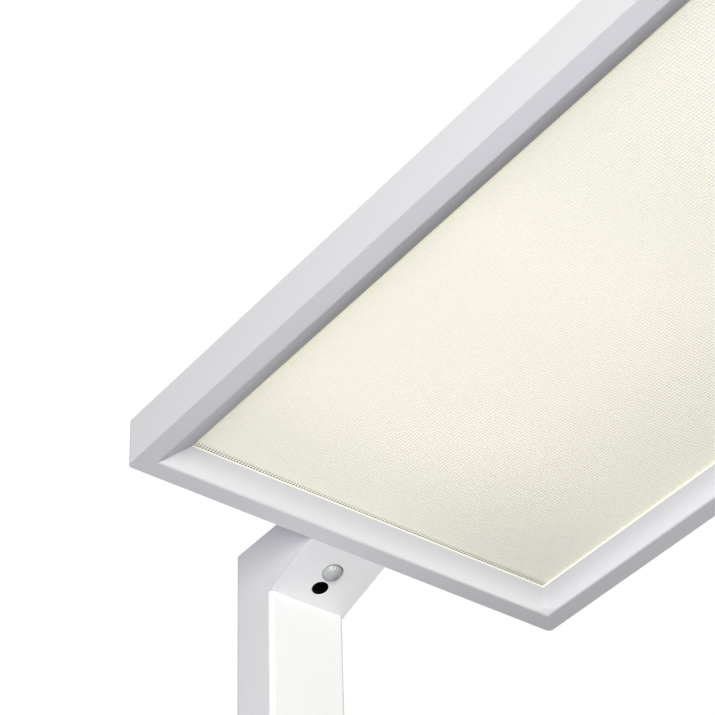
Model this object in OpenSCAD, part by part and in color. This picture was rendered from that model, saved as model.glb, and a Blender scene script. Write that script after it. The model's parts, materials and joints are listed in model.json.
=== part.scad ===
// Office floor lamp: a flat direct and indirect light head, carried at one end
// by a wedge-shaped neck on a rectangular column that stands on a steel plate.
// Millimetres, +Z up. The head reaches out along +X. The origin is on the floor,
// under the middle of the lamp's overall length and width.

/* [Overall] */
// Height from the floor to the top of the head
total_h = 1950; // [1700:5:2100]

/* [Head frame] */
// Length of the head
head_len = 620; // [520:5:700]
// Width of the head
head_w = 300; // [260:5:360]
// Depth of the head, from the rim to the top cover
head_t = 30; // [29:0.5:36]
// Width of the flat rim around the underside
rim_w = 12.5; // [10:0.5:16]
// Width of the bevel between the rim and the light panel
bevel_w = 13; // [10:0.5:16]
// How far the light panel lies above the rim
bevel_rise = 8.5; // [7:0.5:9]
// Radius where the rim turns into the bevel
rim_round = 4; // [1:0.5:5]
// Radius of the head's four upright corners
head_corner_r = 3; // [1:0.5:6]
// Wall of the frame rails
rail_wall = 2; // [1.6:0.1:2.5]
// Thickness of the ribs inside the rails
rib_t = 1.2; // [1:0.1:1.4]
// Height of the lip that the light panel lies behind
lip_t = 1.2; // [0.8:0.1:1.6]
// Width of the seat behind the lip
seat_w = 5; // [4:0.5:7]
// Length of each leg of a corner key
key_leg = 32; // [20:1:50]
// Thickness of a corner key
key_t = 2; // [1.5:0.1:2.2]

/* [Light panel and boards] */
// Thickness of the prismatic panel
panel_t = 2; // [1.5:0.1:2.2]
// Thickness of the diffusing film
film_t = 0.3; // [0.2:0.1:0.5]
// Thickness of the light guide
guide_t = 3; // [2.5:0.1:3.2]
// Thickness of the white reflector sheet
reflector_t = 0.6; // [0.4:0.1:0.8]
// Thickness of the tray that carries the boards
tray_t = 1.5; // [1:0.1:1.8]
// Thickness of an LED board
board_t = 1.6; // [1:0.1:2]
// Distance between the LEDs along an edge bar
led_pitch = 12; // [10:1:20]
// Side of an LED package
led_side = 2.8; // [2:0.1:3]
// Height of an LED package
led_h = 0.8; // [0.6:0.1:1]
// Length of one upward-facing board
up_board_len = 220; // [160:5:230]
// Width of one upward-facing board
up_board_w = 24; // [16:1:40]
// Number of LEDs on each upward-facing board
up_leds = 12; // [6:1:14]

/* [Top cover] */
// Thickness of the top cover
cover_t = 1.5; // [1:0.1:2]
// Thickness of the top lens
top_lens_t = 2; // [1.5:0.1:2.2]
// Width of the closed border between the head's edge and the upper window
window_border = 55; // [45:1:70]
// Closed length of the top cover at the column end
window_setback = 130; // [120:5:180]

/* [Neck] */
// Distance from the column's front face to the head
neck_reach = 41; // [36:1:60]
// How far the underside of the neck drops below the head's rim
neck_drop = 12.5; // [8:0.5:20]
// Wall of the neck shell
neck_wall = 2.4; // [2:0.1:3]
// Thickness of the steel neck bracket
bracket_t = 5; // [4:0.5:5]
// Width of the bracket's riser and arm
bracket_w = 28; // [24:1:28]
// How far the bracket's arm reaches into the head
arm_grip = 100; // [80:5:110]
// Thickness of the neck lid
lid_t = 2; // [1.5:0.1:2.5]

/* [Sensors] */
// Diameter of the presence sensor's lens
pir_d = 12.4; // [10:0.1:14]
// How far the presence lens stands out of the neck
pir_dome = 3.4; // [2:0.1:5]
// Diameter of the dark light-sensor window
eye_d = 9.7; // [8:0.1:10.5]
// Distance from the neck's fold to the light-sensor window
eye_along = 13.2; // [12:0.1:14]
// Gap between the two sensors
sensor_gap = 2; // [1.9:0.1:3]

/* [Column] */
// Width of the column, across the lamp
col_w = 52; // [50:1:70]
// Depth of the column, along the lamp
col_d = 36; // [36:1:50]
// Radius of the column's upright edges
col_r = 3; // [1:0.5:4]
// Wall of the column
col_wall = 2.2; // [1.8:0.1:2.4]

/* [Base] */
// Length of the base plate
base_len = 420; // [360:5:480]
// Width of the base plate
base_w = 290; // [240:5:300]
// Thickness of the base plate
base_t = 10; // [8:0.5:14]
// Radius of the base plate's corners
base_r = 14; // [5:1:40]
// Bevel around the base plate's upper edge
base_bevel = 1.5; // [0.5:0.5:3]
// Distance from the rear edge of the plate to the column
base_setback = 40; // [32:1:60]
// Diameter of a rubber foot pad
pad_d = 28; // [20:1:40]
// Height of a rubber foot pad
pad_h = 3; // [2:0.5:5]

/* [Controls] */
// Height of the middle button above the floor
control_h = 1100; // [900:5:1250]
// Distance between the buttons
button_pitch = 25; // [20:1:28]
// Diameter of a button
button_d = 11; // [9:0.5:12]
// How far a button can be pressed
button_travel = 1; // [0.5:0.1:1.2]

/* [Mains entry] */
// Height of the cable gland above the base plate
gland_h = 35; // [25:1:50]
// Diameter of the hole for the mains lead
lead_bore_d = 7.2; // [6:0.1:8]

/* [Leads] */
// Diameter of the lead from the driver to the head
dc_lead_d = 4.4; // [3:0.1:5]
// Diameter of the thin leads to the sensors and the buttons
thin_lead_d = 2.4; // [1.5:0.1:3]
// Radius of the bend where the lead turns into the head
lead_bend = 14; // [10:0.5:14]

/* [Driver] */
// Length of the LED driver
driver_len = 340; // [240:10:400]
// Width of the LED driver
driver_w = 28; // [22:1:28]
// Depth of the LED driver
driver_d = 16; // [12:0.5:17]
// Height of the driver's lower end above the base plate
driver_rise = 190; // [160:5:300]

/* [Hidden] */
$fn = 64;

fit = 0.3;        // clearance around pieces that are let into another
slip = 0.1;       // clearance of a screw or a button in its hole, on each side
over = 1;         // how far a cutter runs past the face that it cuts
merge = 0.01;     // how far a raised feature reaches into the face that it stands on

// Places along the lamp and up it
overall_len = base_setback + col_d + neck_reach + head_len;
base_x0 = -overall_len / 2;
col_x = base_x0 + base_setback + col_d / 2;
head_x0 = col_x + col_d / 2 + neck_reach;
head_z0 = total_h - head_t;
plate_top = pad_h + base_t;
col_top = head_z0 - neck_drop;

// Section of a frame rail: p runs inwards from the outer face, z up from the rim
bevel_angle = atan2(bevel_rise, bevel_w);
inner_p = rim_w + bevel_w;
lip_top = bevel_rise + lip_t;
rim_t = 1.8;
web_t = 1.6;
round_run = rim_round * tan(bevel_angle / 2);
sheet_p = inner_p - seat_w + fit;
tray_z = lip_top + panel_t + film_t + guide_t + reflector_t;
tray_top = tray_z + tray_t;
tray_rib = 7;
key_rib = 9;
key_w = key_rib - rail_wall - 2 * slip;
key_z = tray_top + 0.8 + rib_t;
cover_screw_p = rail_wall + 3;
cover_screw_x = 24;
cover_screw_depth = 5;
cover_screw_out = 0.8;
cover_head_d = 4.2;
cover_r = 1.5;
ledge_rib = 7;
ledge_z = head_t - cover_t;
tray_p = rail_wall + fit;

// Column section
col_in_x = col_d / 2 - col_wall;
col_in_y = col_w / 2 - col_wall;
col_in_r = max(0.4, col_r - col_wall);
screw_d = 5;
shank_d = screw_d - 0.5;
head_d = 8.4;
port_hole_d = shank_d + slip;
port_boss_d = 7.4;
port_web_t = 2.4;
port_web_reach = 12;
port_x = col_in_x - head_d / 2 - 0.4;
port_y = col_in_y - head_d / 2 - 0.4;
groove_x = -5;
carrier_t = 1.5;
groove_rib = 2.6;
groove_root = 0.4;
groove_slack = 0.15;

// Neck, in a frame at the column's axis with z from the head's rim
neck_end = col_d / 2 + neck_reach;
slope = atan2(neck_drop, neck_reach);
arm_z = tray_top;
lead_z = arm_z + bracket_t + dc_lead_d / 2 + 0.3;
gate_w = bracket_w + 7;
gate_z0 = arm_z - 1;
gate_z1 = lead_z + dc_lead_d / 2 + 0.6;
ledge_w = 2.5;
shelf_x = 10;
shelf_h = 5;
small_d = 2.4;
small_pilot = small_d + 0.1;
small_head_d = 5;
lid_ledge_t = 2;
lid_land_x = ledge_w + 6;
lid_screw_x = neck_wall + 4.3;
lid_screw_y = neck_wall + 5.5;
lid_screw_depth = 8;
foot_t = 4;
stud_d = 4.8;
stud_pitch_x = 40;
stud_pitch_y = 16;
arm_mid = arm_grip - stud_pitch_x / 2 - 14;
terminal_at = arm_grip + 8;

// Sensor stack, measured inwards from the neck's slanted face
pir_along = eye_along + (pir_d + eye_d) / 2 + sensor_gap;
lens_flange = 0.9;
carrier_h = 5.8;
sensor_len = 33;
sensor_w = 24;
sensor_x0 = 3;
pocket_gap = 1;
plug_w = 8;
plug_h = 5;
plug_x0 = 3;
sensor_plug_along = sensor_x0 + plug_x0 + plug_w / 2;
sensor_plug_in = neck_wall + carrier_h + board_t + plug_h / 2 + slip;
sensor_plug_x = col_d / 2 + sensor_plug_along * cos(slope) - sensor_plug_in * sin(slope);
sensor_plug_z = -neck_drop + sensor_plug_along * sin(slope) + sensor_plug_in * cos(slope);
eye_inset = 0.3;

// Controls, measured from the column's axis
face_x = col_d / 2;
bezel_t = 1.2;
bezel_w = button_d + 12;
bezel_h = 2 * button_pitch + button_d + 26;
bezel_r = 4;
pod_depth = 10;
pod_w = bezel_w - 4;
pod_h = bezel_h - 10;
pod_r = 2;
pod_screw_z = pod_h / 2 - 4;
control_board_gap = 0.4;
flange_more = 2;
flange_t = 1.3;
pod_x0 = face_x - pod_depth;
shoulder_x = face_x - 3;
button_proud = 0.7;
switch_w = 6;
switch_h = 3.2;
switch_floor = 0.6;
stem_d = 3.4;
stem_gap = 0.2;

// Gland
gland_z = plate_top + gland_h;
gland_flange_d = 17;
gland_barrel_d = 11.8;
gland_hole_d = gland_barrel_d + 2 * slip;
gland_out = 11;
gland_nut_t = 4;
gland_in = col_wall + gland_nut_t + 2;

// Driver and terminal on their carrier plate
carrier_x = groove_x - carrier_t / 2;
driver_z0 = plate_top + driver_rise;
driver_z1 = driver_z0 + driver_len;
carrier_z1 = driver_z1 + 12;
terminal_z0 = plate_top + 90;
terminal_h = 30;
terminal_pitch = 8.5;
terminal_d = 14;
tab_len = 12;
tab_t = 1.6;
driver_hole_d = 3.2;

// Leads inside the column and the neck
lead_x = 2;
lead_z0 = driver_z1 - tab_len;
mains_lead_d = thin_lead_d + 1.2;
thin_y = 9;
thin_bend = 6;
control_bend = 3;
control_lead_z = control_h - pod_h / 2 + 10;

// Light guide's edge bars, measured inwards from the head's outer face
bar_board_t = 1.2;
bar_gap = 0.4;
bar_face = sheet_p - bar_gap - led_h;
bar_z0 = lip_top + 0.6;
bar_len = head_len - 2 * (sheet_p + 6);
strip_t = 1.8;
strip_root = 0.2;

// Upper boards, measured from the column end of the head
up_rows = 2;
up_gap = 6;
up_x0 = window_setback + 8;
lens_tape = 6;

head_white = [0.88, 0.88, 0.90];
plain_metal = [0.72, 0.73, 0.75];
cream = [0.95, 0.94, 0.87];
frost = [0.93, 0.95, 0.96];
board_white = [0.90, 0.92, 0.90];
board_green = [0.10, 0.32, 0.20];
dark = [0.06, 0.06, 0.07];

// ---- shared shapes ----

// A rectangle with round corners, centred
module round_rect(x, y, r) {
    union() {
        square([x - 2 * r, y], center = true);
        square([x, y - 2 * r], center = true);
        for (sx = [-1, 1], sy = [-1, 1])
            translate([sx * (x / 2 - r), sy * (y / 2 - r)])
                circle(r = r);
    }
}

// A slot with round ends along x, centred
module slot_shape(x, y) {
    square([x - y, y], center = true);
    for (s = [-1, 1])
        translate([s * (x - y) / 2, 0])
            circle(d = y);
}

// A pan-head screw that points down, with the underside of its head at z = 0
module pan_screw(d, shank, head, head_h) {
    socket_z = head_h * 0.45;
    translate([0, 0, -shank])
        cylinder(d = d, h = shank);
    difference() {
        cylinder(d = head, h = head_h);
        translate([0, 0, socket_z])
            cylinder(d = d * 0.7, h = head_h, $fn = 6);
    }
}

// A countersunk screw that points up, with its head's face at z = 0
module flat_screw(d, length, head) {
    socket_depth = (head - d) * 0.35;
    difference() {
        union() {
            cylinder(d = d, h = length);
            cylinder(d1 = head, d2 = d, h = (head - d) / 2);
        }
        translate([0, 0, -over])
            cylinder(d = d * 0.7, h = over + socket_depth, $fn = 6);
    }
}

// A countersink cut down into a face at z = 0, for a screw of diameter d
module countersink(d, head) {
    depth = (head - d) / 2;
    translate([0, 0, -depth])
        cylinder(d1 = d, d2 = head, h = depth);
    cylinder(d = head, h = over);
}

// Puts children at the column's four screw ports
module at_ports() {
    for (sx = [-1, 1], sy = [-1, 1])
        translate([col_x + sx * port_x, sy * port_y, 0])
            children();
}

// Puts children in the neck's frame
module at_neck() {
    translate([col_x, 0, head_z0])
        children();
}

// Puts children in the head's frame: x from the column end, z from the rim
module at_head() {
    translate([head_x0, 0, head_z0])
        children();
}

// Puts children on the neck's slanted face: x up the slope, z into the neck
module on_slope() {
    at_neck()
        translate([col_d / 2, 0, -neck_drop])
            rotate([0, -slope, 0])
                children();
}

// ---- base ----

// A plate with round corners and a bevelled upper edge, centred
module bevelled_plate(x, y, r, t, bevel) {
    union() {
        linear_extrude(t - bevel)
            round_rect(x, y, r);
        translate([0, (y - 2 * r) / 2, 0])
            rotate([90, 0, 0])
                linear_extrude(y - 2 * r)
                    bevelled_side(x, t, bevel);
        translate([-(x - 2 * r) / 2, 0, 0])
            rotate([90, 0, 90])
                linear_extrude(x - 2 * r)
                    bevelled_side(y, t, bevel);
        for (sx = [-1, 1], sy = [-1, 1])
            translate([sx * (x / 2 - r), sy * (y / 2 - r), t - bevel])
                cylinder(r1 = r, r2 = r - bevel, h = bevel);
    }
}

module bevelled_side(w, t, bevel) {
    polygon([
        [-w / 2, 0], [w / 2, 0], [w / 2, t - bevel],
        [w / 2 - bevel, t], [-w / 2 + bevel, t], [-w / 2, t - bevel]
    ]);
}

// Steel plate, countersunk below for the screws up into the column
module base_plate() {
    color(head_white)
        difference() {
            translate([base_x0 + base_len / 2, 0, pad_h])
                bevelled_plate(base_len, base_w, base_r, base_t, base_bevel);
            at_ports()
                translate([0, 0, pad_h]) {
                    translate([0, 0, -over])
                        cylinder(d = screw_d + 2 * slip, h = base_t + 2 * over);
                    mirror([0, 0, 1])
                        countersink(shank_d, 2 * screw_d);
                }
        }
}

// Rubber pads near the corners and under the column
module foot_pads() {
    edge_in = base_r + pad_d / 2;
    taper = 1.5;
    color(dark)
        for (x = [base_x0 + edge_in, base_x0 + base_len / 2, base_x0 + base_len - edge_in])
            for (s = [-1, 1])
                translate([x, s * (base_w / 2 - edge_in), 0])
                    cylinder(d1 = pad_d - taper, d2 = pad_d, h = pad_h);
}

// Screws up through the base plate into the column's ports
module foot_screws() {
    grip = 22;
    color(plain_metal)
        at_ports()
            translate([0, 0, pad_h])
                flat_screw(shank_d, base_t + grip, 2 * screw_d);
}

// ---- column ----

// Extruded section: wall, four screw ports and the grooves for the carrier plate
module column_section() {
    difference() {
        union() {
            difference() {
                round_rect(col_d, col_w, col_r);
                round_rect(2 * col_in_x, 2 * col_in_y, col_in_r);
            }
            // screw ports with their webs to the corners
            for (sx = [-1, 1], sy = [-1, 1])
                translate([sx * port_x, sy * port_y]) {
                    circle(d = port_boss_d);
                    intersection() {
                        rotate(sy * sx * 45)
                            translate([sx > 0 ? 0 : -port_web_reach, -port_web_t / 2])
                                square([port_web_reach, port_web_t]);
                        translate([-sx * port_x, -sy * port_y])
                            round_rect(col_d - col_wall, col_w - col_wall, col_r);
                    }
                }
            // guide ribs for the carrier plate
            for (sy = [-1, 1], sx = [-1, 1])
                translate([groove_x + sx * (carrier_t / 2 + groove_slack + rib_t / 2),
                           sy * (col_in_y - groove_rib / 2 + groove_root / 2)])
                    square([rib_t, groove_rib + groove_root], center = true);
        }
        for (sx = [-1, 1], sy = [-1, 1])
            translate([sx * port_x, sy * port_y])
                circle(d = port_hole_d);
    }
}

module column() {
    color(head_white)
        difference() {
            translate([col_x, 0, plate_top])
                linear_extrude(col_top - plate_top)
                    column_section();
            // opening for the control pod
            translate([col_x + col_in_x - over, 0, control_h])
                rotate([0, 90, 0])
                    linear_extrude(col_wall + 2 * over)
                        round_rect(pod_h + 2 * slip, pod_w + 2 * slip, pod_r + slip);
            // hole for the gland
            translate([col_x - col_d / 2 - over, 0, gland_z])
                rotate([0, 90, 0])
                    cylinder(d = gland_hole_d, h = col_wall + 2 * over);
        }
}

// ---- mains entry ----

// The gland's barrel passes the column's rear wall, with its cap outside
module cable_gland() {
    flange_h = 2;
    hex_d = 15.4;
    hex_h = 5;
    cone_z = flange_h + hex_h;
    cone_d = 12.6;
    tip_wall = 1.3;
    color(dark)
        translate([col_x - col_d / 2, 0, gland_z])
            rotate([0, -90, 0])
                difference() {
                    union() {
                        translate([0, 0, -gland_in])
                            cylinder(d = gland_barrel_d, h = gland_in + flange_h / 2);
                        cylinder(d = gland_flange_d, h = flange_h);
                        translate([0, 0, flange_h])
                            cylinder(d = hex_d, h = hex_h, $fn = 6);
                        translate([0, 0, cone_z])
                            cylinder(d1 = cone_d, d2 = lead_bore_d + 2 * tip_wall, h = gland_out - cone_z);
                    }
                    translate([0, 0, -gland_in - over])
                        cylinder(d = lead_bore_d, h = gland_in + gland_out + 2 * over);
                }
}

// Hexagon nut that holds the gland from inside the column
module gland_nut() {
    nut_d = 18;
    color(dark)
        translate([col_x - col_in_x, 0, gland_z])
            rotate([0, 90, 0])
                difference() {
                    cylinder(d = nut_d, h = gland_nut_t, $fn = 6);
                    translate([0, 0, -over])
                        cylinder(d = gland_hole_d, h = gland_nut_t + 2 * over);
                }
}

// ---- driver compartment ----

// A sheet that slides into the column's grooves and carries the driver
module carrier_plate() {
    way_w = 14;
    way_h = 40;
    way_rise = 12;
    color(plain_metal)
        difference() {
            translate([col_x + carrier_x, -col_in_y + fit, plate_top])
                cube([carrier_t, 2 * (col_in_y - fit), carrier_z1 - plate_top]);
            // way for the mains lead
            translate([col_x + carrier_x, 0, gland_z + way_rise])
                cube([3 * carrier_t, way_w, way_h], center = true);
            at_driver_screws()
                translate([0, 0, -carrier_t - over])
                    cylinder(d = driver_hole_d, h = carrier_t + 2 * over);
        }
}

// Puts children at the driver's two fixing holes, pointing to the front
module at_driver_screws() {
    for (z = [driver_z0 + tab_len / 2, driver_z1 - tab_len / 2])
        translate([col_x + groove_x + carrier_t / 2, 0, z])
            rotate([0, 90, 0])
                children();
}

// A three-way block: wires go in from below, and its screws face the front
module mains_terminal() {
    w = 28;
    entry_d = 4.2;
    entry_depth = 8;
    clamp_d = 4;
    clamp_depth = 4;
    color(frost)
        translate([col_x + carrier_x + carrier_t, 0, terminal_z0])
            difference() {
                translate([0, -w / 2, 0])
                    cube([terminal_d, w, terminal_h]);
                for (i = [-1:1]) {
                    translate([terminal_d / 2, i * terminal_pitch, -over])
                        cylinder(d = entry_d, h = entry_depth + over);
                    translate([terminal_d - clamp_depth, i * terminal_pitch, entry_depth])
                        rotate([0, 90, 0])
                            cylinder(d = clamp_d, h = clamp_depth + over);
                }
            }
}

// A slim driver with a fixing tab at each end
module driver() {
    color(frost)
        translate([col_x + carrier_x + carrier_t, -driver_w / 2, driver_z0])
            difference() {
                union() {
                    translate([0, 0, tab_len])
                        cube([driver_d, driver_w, driver_len - 2 * tab_len]);
                    cube([tab_t, driver_w, driver_len]);
                }
                for (z = [tab_len / 2, driver_len - tab_len / 2])
                    translate([-over, driver_w / 2, z])
                        rotate([0, 90, 0])
                            cylinder(d = driver_hole_d, h = tab_t + 2 * over);
            }
}

module driver_screws() {
    color(plain_metal)
        at_driver_screws()
            translate([0, 0, tab_t])
                pan_screw(d = 2.8, shank = tab_t + carrier_t + 1, head = 5.5, head_h = 1.8);
}

// ---- leads ----

module input_lead() {
    color(dark)
        translate([col_x + carrier_x + carrier_t + terminal_d / 2, terminal_pitch, terminal_z0 + terminal_h])
            cylinder(d = mains_lead_d, h = driver_z0 + tab_len - terminal_z0 - terminal_h);
}

// A lead that starts at [x, z], runs back along x, bends and drops to z_low at lead_x
module falling_lead(x, z, z_low, d, bend) {
    turn_x = lead_x + bend;
    union() {
        translate([turn_x, 0, z])
            rotate([0, 90, 0])
                cylinder(d = d, h = x - turn_x);
        translate([turn_x, 0, z - bend])
            rotate([90, 0, 0])
                rotate([0, 0, 90])
                    rotate_extrude(angle = 90)
                        translate([bend, 0])
                            circle(d = d);
        translate([lead_x, 0, z_low])
            cylinder(d = d, h = z - bend - z_low);
    }
}

module dc_lead() {
    color(frost)
        translate([col_x, 0, 0])
            falling_lead(neck_end + terminal_at, head_z0 + lead_z, lead_z0, dc_lead_d, lead_bend);
}

module sensor_lead() {
    color(frost)
        translate([col_x, thin_y, 0])
            falling_lead(sensor_plug_x, head_z0 + sensor_plug_z, lead_z0, thin_lead_d, thin_bend);
}

module control_lead() {
    color(frost)
        translate([col_x, -thin_y + 1, 0])
            falling_lead(pod_x0 - board_t, control_lead_z, lead_z0, thin_lead_d, control_bend);
}

// ---- controls ----

// Puts children on the axis of button i, with z out of the column's front
module at_button(i) {
    translate([col_x, 0, control_h + i * button_pitch])
        rotate([0, 90, 0])
            children();
}

// Front plate and pod in one moulding, with a stepped bore for each button
module control_bezel() {
    snap = [1.4, pod_w * 0.5, 1.6];
    screw_hole_d = 2.1;
    screw_depth = 7;
    color(dark)
        difference() {
            union() {
                translate([col_x + face_x, 0, control_h])
                    rotate([0, 90, 0])
                        linear_extrude(bezel_t)
                            round_rect(bezel_h, bezel_w, bezel_r);
                translate([col_x + pod_x0, 0, control_h])
                    rotate([0, 90, 0])
                        linear_extrude(pod_depth + bezel_t / 2)
                            round_rect(pod_h, pod_w, pod_r);
                // snap ridges behind the column's wall
                for (s = [-1, 1])
                    translate([col_x + col_in_x - snap[2], 0, control_h + s * pod_h / 2])
                        cube(snap, center = true);
            }
            for (i = [-1:1])
                at_button(i) {
                    translate([0, 0, shoulder_x - over])
                        cylinder(d = button_d + 2 * slip, h = face_x + bezel_t - shoulder_x + 2 * over);
                    translate([0, 0, pod_x0 - over])
                        cylinder(d = button_d + flange_more + 2 * slip, h = shoulder_x - pod_x0 + over);
                }
            for (s = [-1, 1])
                translate([col_x + pod_x0 - over, 0, control_h + s * pod_screw_z])
                    rotate([0, 90, 0])
                        cylinder(d = screw_hole_d, h = screw_depth + over);
        }
}

// Board screwed behind the pod
module control_board() {
    w = pod_w - 2 * control_board_gap;
    h = pod_h - 2 * control_board_gap;
    screw_hole_d = 2.3;
    color(board_green)
        union() {
            difference() {
                translate([col_x + pod_x0 - board_t, -w / 2, control_h - h / 2])
                    cube([board_t, w, h]);
                for (s = [-1, 1])
                    translate([col_x, 0, control_h + s * pod_screw_z])
                        rotate([0, 90, 0])
                            cylinder(d = screw_hole_d, h = face_x);
            }
            // a switch behind each button, with a pocket for the button's stem
            for (i = [-1:1])
                at_button(i)
                    translate([0, 0, pod_x0])
                        difference() {
                            translate([-switch_w / 2, -switch_w / 2, 0])
                                cube([switch_w, switch_w, switch_h]);
                            translate([0, 0, switch_floor])
                                cylinder(d = stem_d + 2 * slip, h = switch_h);
                        }
        }
}

module board_screws() {
    color(plain_metal)
        for (s = [-1, 1])
            translate([col_x + pod_x0 - board_t, 0, control_h + s * pod_screw_z])
                rotate([0, -90, 0])
                    pan_screw(d = 1.9, shank = board_t + 5, head = 3.8, head_h = 1.3);
}

// A push button: round head, flange behind the bezel's step, and stem into the switch
module button_body(i) {
    stem_x = pod_x0 + switch_floor + button_travel + stem_gap;
    mark_depth = 0.3;
    at_button(i) {
        difference() {
            translate([0, 0, shoulder_x - flange_t])
                cylinder(d = button_d, h = face_x + bezel_t + button_proud - shoulder_x + flange_t);
            translate([0, 0, face_x + bezel_t + button_proud - mark_depth])
                button_mark(i);
        }
        translate([0, 0, shoulder_x - flange_t])
            cylinder(d = button_d + flange_more, h = flange_t);
        translate([0, 0, stem_x])
            cylinder(d = stem_d, h = shoulder_x - flange_t - stem_x);
    }
}

// Cutters for the shallow marks: a plus, a minus and a ring
module button_mark(i) {
    stroke = 0.8;
    bar = 4.4;
    ring_d = 5;
    ring_w = 0.7;
    if (i != 0)
        translate([-stroke / 2, -bar / 2, 0])
            cube([stroke, bar, over]);
    if (i > 0)
        translate([-bar / 2, -stroke / 2, 0])
            cube([bar, stroke, over]);
    if (i == 0)
        difference() {
            cylinder(d = ring_d, h = over);
            translate([0, 0, -over])
                cylinder(d = ring_d - 2 * ring_w, h = 3 * over);
        }
}

module button_power() {
    color(frost)
        button_body(0);
}

module button_brighter() {
    color(frost)
        button_body(1);
}

module button_dimmer() {
    color(frost)
        button_body(-1);
}

// ---- neck ----

// Side view of the neck: [x, z] from the column's axis and the head's rim
module neck_side() {
    polygon([
        [-col_d / 2, -neck_drop], [col_d / 2, -neck_drop], [neck_end, 0],
        [neck_end, head_t], [-col_d / 2, head_t]
    ]);
}

// The hollow inside the neck, open to the column below and up to the lid's ledge
module neck_hollow() {
    lift = neck_wall / cos(slope);
    near = col_d / 2 - neck_wall;
    far = neck_end - neck_wall;
    low = -neck_drop + lift;
    top = head_t - lid_t - lid_ledge_t;
    polygon([
        [-near, -neck_drop - over], [near, -neck_drop - over],
        [near, low - neck_wall * tan(slope)], [far, low + (neck_reach - neck_wall) * tan(slope)],
        [far, top], [-near, top]
    ]);
}

// A side view, drawn in [x, z], given a width across the lamp
module across(w) {
    translate([0, w / 2, 0])
        rotate([90, 0, 0])
            linear_extrude(w)
                children();
}

// Plan of the neck: round at the back like the column, square against the head
module neck_plan() {
    union() {
        round_rect(col_d, col_w, col_r);
        translate([0, -col_w / 2])
            square([neck_end, col_w]);
    }
}

// Cast cover between column and head, open below and closed by a lid on top
module neck_shell() {
    in_x0 = -col_d / 2 + neck_wall;
    in_x1 = neck_end - neck_wall;
    in_w = col_w - 2 * neck_wall;
    ledge_z0 = head_t - lid_t - lid_ledge_t;
    ledge_cut = lid_ledge_t + 2 * over;
    color(head_white)
        difference() {
            at_neck()
                difference() {
                    intersection() {
                        across(col_w)
                            neck_side();
                        translate([0, 0, -neck_drop])
                            linear_extrude(head_t + neck_drop)
                                neck_plan();
                    }
                    difference() {
                        across(in_w)
                            neck_hollow();
                        // shelf that the bracket's arm is screwed down to
                        translate([in_x1 - shelf_x, -in_w / 2, arm_z - shelf_h])
                            cube([shelf_x + over, in_w, shelf_h]);
                    }
                    at_shelf_screws()
                        translate([0, 0, -shelf_h - over])
                            cylinder(d = small_pilot, h = shelf_h + 2 * over);
                    // recess for the lid, and the opening inside its ledge
                    translate([in_x0, -in_w / 2, head_t - lid_t])
                        cube([in_x1 - in_x0, in_w, lid_t + over]);
                    translate([in_x0 + lid_land_x, -in_w / 2 + ledge_w, ledge_z0 - over])
                        cube([in_x1 - in_x0 - 2 * lid_land_x, in_w - 2 * ledge_w, ledge_cut]);
                    translate([0, -thin_y, ledge_z0 - over])
                        cube([in_x1, 2 * thin_y, ledge_cut]);
                    // gate for the bracket's arm and the lead
                    translate([in_x1 - over, -gate_w / 2, gate_z0])
                        cube([neck_wall + 2 * over, gate_w, gate_z1 - gate_z0]);
                    at_lid_screws()
                        translate([0, 0, -lid_screw_depth])
                            cylinder(d = small_pilot, h = lid_screw_depth + over);
                }
            on_slope() {
                translate([pir_along, 0, -over])
                    cylinder(d = pir_d + 2 * slip, h = neck_wall + 2 * over);
                translate([eye_along, 0, -over])
                    cylinder(d = eye_d + 2 * slip, h = neck_wall + 2 * over);
            }
        }
}

module at_lid_screws() {
    for (x = [-col_d / 2 + lid_screw_x, neck_end - lid_screw_x], s = [-1, 1])
        translate([x, s * (col_w / 2 - lid_screw_y), head_t - lid_t])
            children();
}

module at_shelf_screws() {
    for (s = [-1, 1])
        translate([neck_end - neck_wall - shelf_x / 2, s * thin_y, arm_z])
            children();
}

// Flat lid in the shell's recess
module neck_lid() {
    in_x0 = -col_d / 2 + neck_wall + fit / 2;
    in_x1 = neck_end - neck_wall - fit / 2;
    in_w = col_w - 2 * neck_wall - fit;
    color(head_white)
        at_neck()
            difference() {
                translate([in_x0, -in_w / 2, head_t - lid_t])
                    cube([in_x1 - in_x0, in_w, lid_t]);
                at_lid_screws() {
                    translate([0, 0, -over])
                        cylinder(d = small_d + 2 * slip, h = lid_t + 2 * over);
                    translate([0, 0, lid_t])
                        countersink(small_d, small_head_d);
                }
            }
}

module lid_screws() {
    grip = 3.5;
    color(plain_metal)
        at_neck()
            at_lid_screws()
                translate([0, 0, lid_t])
                    rotate([180, 0, 0])
                        flat_screw(small_d, lid_t + grip, small_head_d);
}

// Two screws that hold the shell up to the bracket's arm
module shell_screws() {
    color(plain_metal)
        at_neck()
            at_shelf_screws()
                translate([0, 0, bracket_t])
                    pan_screw(d = small_d, shank = bracket_t + shelf_h, head = 4.6, head_h = 1.8);
}

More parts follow.
